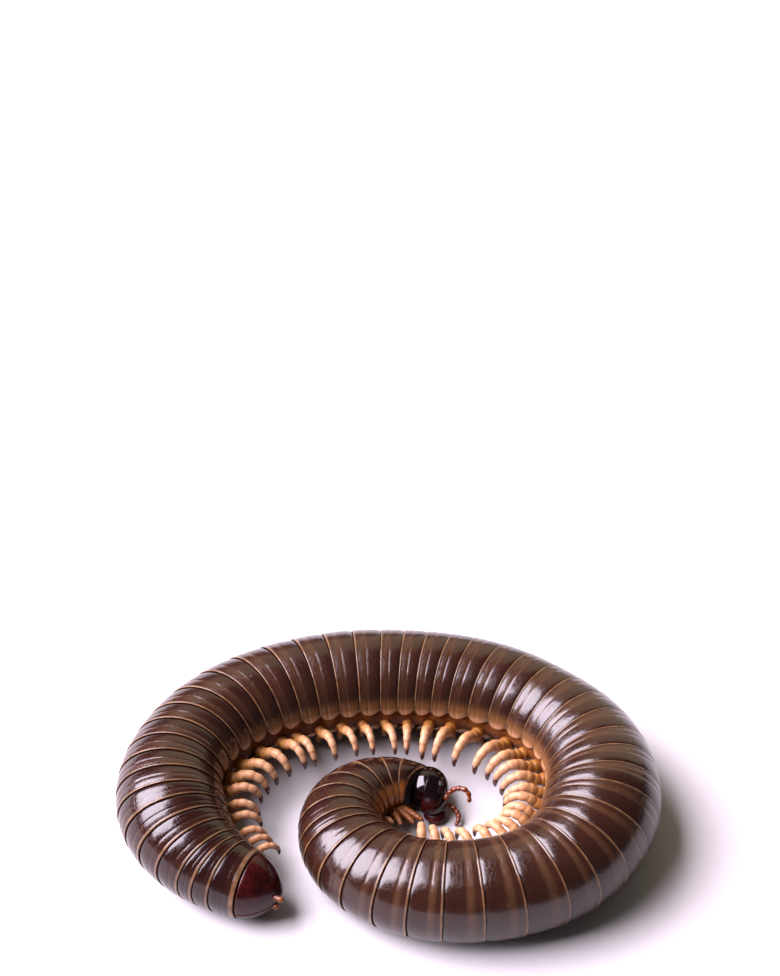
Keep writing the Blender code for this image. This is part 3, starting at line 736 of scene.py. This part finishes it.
def reach_of(unit, centre, radius):
    """How far a ball's skin lies from the heart of the head in each direction: the larger root of the
    square equation of the line with the ball."""
    start = (HEAD_HEART - centre) / radius
    way = unit / radius
    a, b, c = (way ** 2).sum(-1), (way * start).sum(-1), (start ** 2).sum() - 1
    return (-b + np.sqrt(b * b - a * c)) / a


def head_grid(rows, columns):
    """Dome and face run smoothly into one another: the soft maximum of both reaches. A groove parts
    the feelers' low sockets, and another runs along the lip, which stands up a little."""
    unit = unit_ball(rows, columns)
    dome = reach_of(unit, DOME_CENTRE, HEAD_RADIUS)
    face = reach_of(unit, FACE_CENTRE, FACE_RADIUS)
    reach = np.log(np.exp(dome * 7) + np.exp(face * 7)) / 7 - 0.01
    reach = np.minimum(reach, (HEAD_HEART[0] - HEAD_REAR) / np.maximum(-unit[..., 0], 1e-3))
    local = HEAD_HEART + unit * reach[..., None]
    lift = sum(bump_at(local, socket, (0.22, 0.22, 0.22), 0.07) for socket in SOCKETS)
    lift -= bump_at(local, (1.95, 0.45, 0.0), (0.4, 0.4, 0.08), 0.04)
    rise = (local - FACE_CENTRE) @ LIP_FACING / FACE_RADIUS
    lift += 0.030 * np.exp(-((rise - LIP_RISE) / 0.030) ** 2)
    lift -= 0.05 * np.exp(-((rise - 0.02) / 0.05) ** 2)
    return local + unit * lift[..., None], rise


def head_horn():
    n, colour, rough, normal = black_gloss("head_horn")
    red = n.ramp(n.noise(0.4, 3.0), ((0.3, (0.016, 0.0012, 0.0014)), (0.7, (0.034, 0.0026, 0.0024))))
    colour = n.mix(n.value("lower"), colour, red)
    rough = n.mix(n.ramp(n.value("lower"), ((0.0, 0.0), (0.3, 1.0))), rough, (0.24, 0.24, 0.24))
    colour = n.mix(n.value("pale"), colour, (0.20, 0.060, 0.045))
    return n.finish(colour, rough, normal, IOR=1.4)


local, rise = head_grid(170, 220)
low = np.clip((local[..., 1] - 1.15) / 0.9, 0, 1)
values = {"lower": low, "pale": np.exp(-((rise - LIP_RISE) / 0.03) ** 2) * (low > 0.15) * 0.9}
faces = net(1, *local.shape[:2])
head_piece = make_piece("head_capsule", from_head(local), faces, values, head_horn())
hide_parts("head")

# ---- Jaw plate
# A rounded dark-red plate lies round the lower side of the face. It is duller than the dome, and two
# grooves part its middle from its sides.
JAW_CENTRE = np.array([1.24, 1.76, -0.82])
JAW_AXES = np.array([1.0, 0.86, 0.52])


def jaw_grid(rows=80, columns=110):
    """An ellipsoid with two long grooves pressed into its outer side."""
    unit = unit_ball(rows, columns)
    groove = np.exp(-((np.abs(unit[..., 0]) - 0.36) / 0.05) ** 2)
    groove = groove * np.clip(0.6 - unit[..., 2] + unit[..., 1], 0, 1)
    return JAW_CENTRE + unit * JAW_AXES * (1 - 0.035 * groove[..., None]), unit


def jaw_horn():
    n = Nodes("jaw_horn", 0.3)
    cloud = n.noise(0.4, 4.0)
    colour = n.ramp(cloud, ((0.3, (0.020, 0.0014, 0.0012)), (0.7, (0.040, 0.0032, 0.0022))))
    colour = n.mix(n.ramp(n.value("rim"), ((0.0, 0.0), (1.0, 0.7))), colour, (0.16, 0.045, 0.030))
    rough = n.ramp(cloud, ((0.3, 0.30), (0.7, 0.46)))
    return n.finish(colour, rough, n.bump(n.noise(0.2, 4.0), 0.008, 0.7), IOR=1.3)


local, unit = jaw_grid()
values = {"rim": np.exp(-((unit[..., 1] - 0.88) / 0.05) ** 2)}
faces = net(1, *local.shape[:2])
jaw_plate = make_piece("jaw_plate_horn", from_head(local), faces, values, jaw_horn())
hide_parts("jaw_plate")

# ---- Eyes
# Each eye is a small, low patch of black lenses, packed in rows behind the feeler's root. The lenses
# are domes of clear horn, grown with the head's skin.
EYE_CENTRE = np.array([1.18, -0.3, 1.3])
EYE_AXES = np.array([0.34, 0.32, 0.22])
LENS_WAVE = 58                       # radians of the waves per millimetre


def eye_gloss():
    n = Nodes("eye_gloss", 0.1)
    colour = n.ramp(n.noise(0.06, 2.0), ((0.3, (0.003, 0.002, 0.003)), (0.7, (0.008, 0.005, 0.006))))
    return n.finish(colour, 0.1, n.bump(n.noise(0.05, 2.0), 0.002, 0.5))


def eye_grid(side, rows=90, columns=120):
    """A flattened ball covered in small lenses: bumps where two crossing rows of waves meet."""
    unit = unit_ball(rows, columns)[..., [1, 2, 0]]
    flat = unit[..., :2] * EYE_AXES[:2]
    wave = np.cos(flat[..., 0] * LENS_WAVE) * np.cos(flat[..., 1] * LENS_WAVE)
    lens = 0.022 * np.clip(wave, -0.2, 1) * np.clip(unit[..., 2], 0, 1) ** 0.5
    return (EYE_CENTRE + unit * (EYE_AXES + lens[..., None])) * (1, 1, side)


EYE_GLOSS = eye_gloss()
for side, node in ((1, "eye_right"), (-1, "eye_left")):
    points = from_head(eye_grid(side))
    faces = net(1, *points.shape[:2])
    eye = make_piece(node + "_lenses", points, faces, {}, EYE_GLOSS)
    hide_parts(node)

# ---- Feelers
# Two short, bent feelers of glossy reddish brown horn. Seven beads of each can be seen, and the
# eighth sits in the head. Every bead widens towards its far end.
FEELER_RADIUS = 0.225
FEELER_BEADS = 8
FEELER_SIDES = 20
RIGHT_FEELER = (
    (1.4, 0.95, 0.3), (1.87, 0.72, 0.35), (2.12, 0.13, 0.78), (2.72, -0.22, 1.4), (3.48, -0.25, 1.7),
    (4.0, 0.02, 1.52), (4.22, 0.6, 1.1),
)
LEFT_FEELER = (
    (1.3, 0.85, -0.3), (1.76, 0.75, -0.35), (2.35, 0.6, -0.65), (2.91, 0.81, -0.85), (3.29, 1.22, -0.9),
    (3.39, 1.67, -0.95), (3.33, 2.21, -1.0),
)


def even_row(points, count):
    """Points at equal distances along the smooth curve through the given ones."""
    line = smooth_row(np.array(points), 400)
    gone = np.concatenate([[0], np.cumsum(np.linalg.norm(np.diff(line, axis=0), axis=1))])
    return along_line(line, np.interp(np.linspace(0, gone[-1], count), gone, np.arange(len(line))))


def feeler_skin():
    n = Nodes("feeler_skin", 0.2)
    cloud, joint = n.noise(0.4, 4.0), n.value("joint")
    colour = n.ramp(cloud, ((0.3, (0.070, 0.0115, 0.0016)), (0.7, (0.125, 0.024, 0.0030))))
    seam = n.ramp(joint, ((0.0, 0.7), (0.15, 0.0), (0.8, 0.0), (0.95, 0.7)))
    colour = n.mix(seam, colour, (0.045, 0.008, 0.002))
    return n.finish(colour, 0.2, n.bump(n.noise(0.12, 3.0), 0.004, 0.5), Subsurface_Weight=0.25,
                    Subsurface_Radius=(0.0004, 0.0001, 0.00004), Subsurface_Scale=1.0)


FEELER_SKIN = feeler_skin()
for node, route in (("antenna_right", RIGHT_FEELER), ("antenna_left", LEFT_FEELER)):
    rows = FEELER_BEADS * ROWS_PER_JOINT + 1
    curve = from_head(even_row(route, rows))
    slim = np.interp(np.linspace(0, 1, rows), (0, 0.25, 0.7, 1), (1.05, 1.0, 1.0, 0.75))
    radii = jointed(FEELER_RADIUS * slim, FEELER_BEADS, 0.22)
    radii[[0, -1]] = 0
    radii[-2] *= 0.6
    share = np.linspace(0, FEELER_BEADS, rows) % 1.0
    values = {"joint": np.broadcast_to(share[:, None], (rows, FEELER_SIDES))}
    faces = net(1, rows, FEELER_SIDES)
    points = tube_points(curve, radii, FEELER_SIDES)
    feeler = make_piece(node + "_beads", points, faces, values, FEELER_SKIN)
    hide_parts(node)

# ---- Tail valves
# The body ends in a dark-red dome that two valves close like shutters. Each valve has a thin orange
# border along the slit and a small orange knob beside the tip.
TAIL_START = 106.9
TAIL_LENGTH = 3.1
TAIL_FULLNESS = 1.5
TAIL_POINT = 0.65
TAIL_ROLL = math.radians(12.0)
TAIL_INSET = 0.12                    # from the start of the valves to their first full row
SLIT_BEAD = 0.045                    # height of the border's bead, and half the slit's width
KNOB_RADIUS = 0.27
KNOB_ROWS = 33
# The valve that a knob sits on, and its place: along the slit's width, away from it, to the tip
TAIL_KNOBS = ((1, (0.49, 0.62, 2.68)), (-1, (0.86, -0.26, 2.28)))


def tail_horn():
    n = Nodes("tail_horn", 0.12)
    cloud = n.noise(0.8, 4.0)
    colour = n.ramp(cloud, ((0.3, (0.0120, 0.0009, 0.0012)), (0.7, (0.030, 0.0022, 0.0022))))
    border = n.ramp(n.value("rim"), ((0.0, 0.0), (0.45, 0.10), (1.0, 1.0)))
    colour = n.mix(border, colour, (0.120, 0.032, 0.008))
    normal = n.bump(n.noise(0.5, 3.0), 0.012, 0.7)
    normal = n.bump(n.noise(0.13, 4.0), 0.006, 0.6, normal)
    rough = n.ramp(n.noise(0.25, 5.0), ((0.35, 0.14), (0.7, 0.30)))
    return n.finish(colour, rough, normal, IOR=1.36)


TAIL_HORN = tail_horn()
tail_point, tail_back, tail_out = axis_point(TAIL_START)
tail_side = UP * math.cos(TAIL_ROLL) + tail_out * math.sin(TAIL_ROLL)
tail_flat = tail_out * math.cos(TAIL_ROLL) - UP * math.sin(TAIL_ROLL)
tail_radius = float(body_radius(TAIL_START)) * 0.965


def valve_points(side, rows=56, columns=90):
    """Half a dome, shut by a slightly hollow wall along the slit. Along the tail its radius falls as
    a power of the way, and its border towards the slit is a rounded bead."""
    part = np.sin(np.linspace(0, np.pi / 2, rows))[:, None]
    reach = tail_radius * np.clip(1 - part ** TAIL_FULLNESS, 0, 1) ** TAIL_POINT
    turn = np.linspace(0, np.pi, columns)[None]
    height = reach * np.sin(turn)
    near_tip = np.clip(reach / 0.3, 0, 1)
    bead = SLIT_BEAD * np.exp(-((height - 0.10) / 0.07) ** 2) * np.clip(reach / 0.8, 0, 1)
    wide = (reach + bead) * np.cos(turn)
    height = np.maximum(height * (1 + bead), 0) + SLIT_BEAD * near_tip
    wall = reach * np.linspace(-1, 1, columns)[None, 1:-1]
    wide = np.concatenate([wide, wall * 0.97], 1)
    inner = SLIT_BEAD + 0.10 * np.sin(turn[:, 1:-1]) * np.ones_like(reach)
    height = np.concatenate([height, inner * near_tip], 1)
    along = TAIL_INSET + part * (TAIL_LENGTH - TAIL_INSET) + 0 * wide
    place = np.stack([along, wide, height * side], -1)
    points = tail_point + place @ np.array([tail_back, tail_flat, tail_side])
    middle = np.repeat(points[:1].mean(axis=1, keepdims=True), points.shape[1], 1)
    points = np.concatenate([middle, points])
    rim = np.exp(-(height / 0.16) ** 2) * (np.arange(height.shape[1]) < columns)
    return points, np.concatenate([rim[:1], rim])


for side, place in TAIL_KNOBS:
    node = "tail_valve_right" if side > 0 else "tail_valve_left"
    points, rim = valve_points(side)
    faces = net(1, *points.shape[:2])
    valve = make_piece(node + "_horn", points, faces, {"rim": rim}, TAIL_HORN)
    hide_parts(node)
    steps = np.array([-0.5, -0.3, 0.0, 0.3, 0.5, 0.68, 0.82, 0.92, 0.97])
    widths = (0, 0.8, 0.82, 0.86, 0.95, 1.0, 0.86, 0.5, 0)
    root = tail_point + tail_flat * place[0] + tail_side * place[1] + tail_back * place[2]
    line = smooth_row(root + steps[:, None] * tail_back, KNOB_ROWS)
    share = np.linspace(0, 1, KNOB_ROWS)
    points = tube_points(line, KNOB_RADIUS * np.interp(share, np.linspace(0, 1, len(widths)), widths), 24)
    faces = net(1, *points.shape[:2])
    piece = make_piece(node + "_knob", points, faces, {"rim": np.ones(points.shape[:-1])}, TAIL_HORN)

# ---- Studio
# A plain pale floor, one large soft light high on the left, a weak warm one from behind and a little
# light from all round. The camera looks down at the photograph's angle.
FLOOR_REACH = 0.9


def floor_paint():
    n = Nodes("floor_paint", 0.6)
    return n.finish((0.47, 0.46, 0.46), 0.9)


corners = [(x * FLOOR_REACH, y * FLOOR_REACH, 0) for x, y in ((-1, -1), (1, -1), (1, 1), (-1, 1))]
floor_mesh = bpy.data.meshes.new("floor")
floor_mesh.from_pydata(corners, [], [(0, 1, 2, 3)])
floor_mesh.materials.append(floor_paint())
floor = bpy.data.objects.new("floor", floor_mesh)
bpy.context.scene.collection.objects.link(floor)


def softbox(name, direction, distance, size, power, colour):
    """A flat light that faces the middle of the object from this direction."""
    data = bpy.data.lights.new(name, "AREA")
    data.shape = "RECTANGLE"
    data.size, data.size_y = size
    data.energy, data.color = power, colour
    light = bpy.data.objects.new(name, data)
    bpy.context.scene.collection.objects.link(light)
    z = np.array(direction) / np.linalg.norm(direction)
    x = np.cross([0.0, 1.0, 0.0], z)
    x /= np.linalg.norm(x)
    turned = np.eye(4)
    turned[:3] = np.stack([x, np.cross(z, x), z, z * distance], 1)
    light.matrix_world = Matrix(turned)


softbox("softbox", (-0.70, 0.06, 0.72), 0.6, (0.62, 0.62), 25.0, (0.96, 0.86, 1.0))
softbox("reflector", (0.30, 0.85, 0.50), 0.9, (1.5, 0.7), 3.5, (1.0, 0.82, 0.56))
world = bpy.data.worlds.new("studio")
bpy.context.scene.world = world
world.use_nodes = True
background = world.node_tree.nodes["Background"]
background.inputs["Color"].default_value = (1.0, 0.93, 0.93, 1)
background.inputs["Strength"].default_value = 0.10

camera = bpy.data.cameras.new("camera")
camera.lens = 88.52
camera.sensor_width = 36.0
camera.clip_start = 0.001
viewer = bpy.data.objects.new("camera", camera)
bpy.context.scene.collection.objects.link(viewer)
viewer.location = (0.000141, -0.136307, 0.166447)
viewer.rotation_euler = (math.radians(47.0), 0.0, 0.0)
bpy.context.scene.camera = viewer
bpy.context.scene.view_settings.view_transform = "Standard"
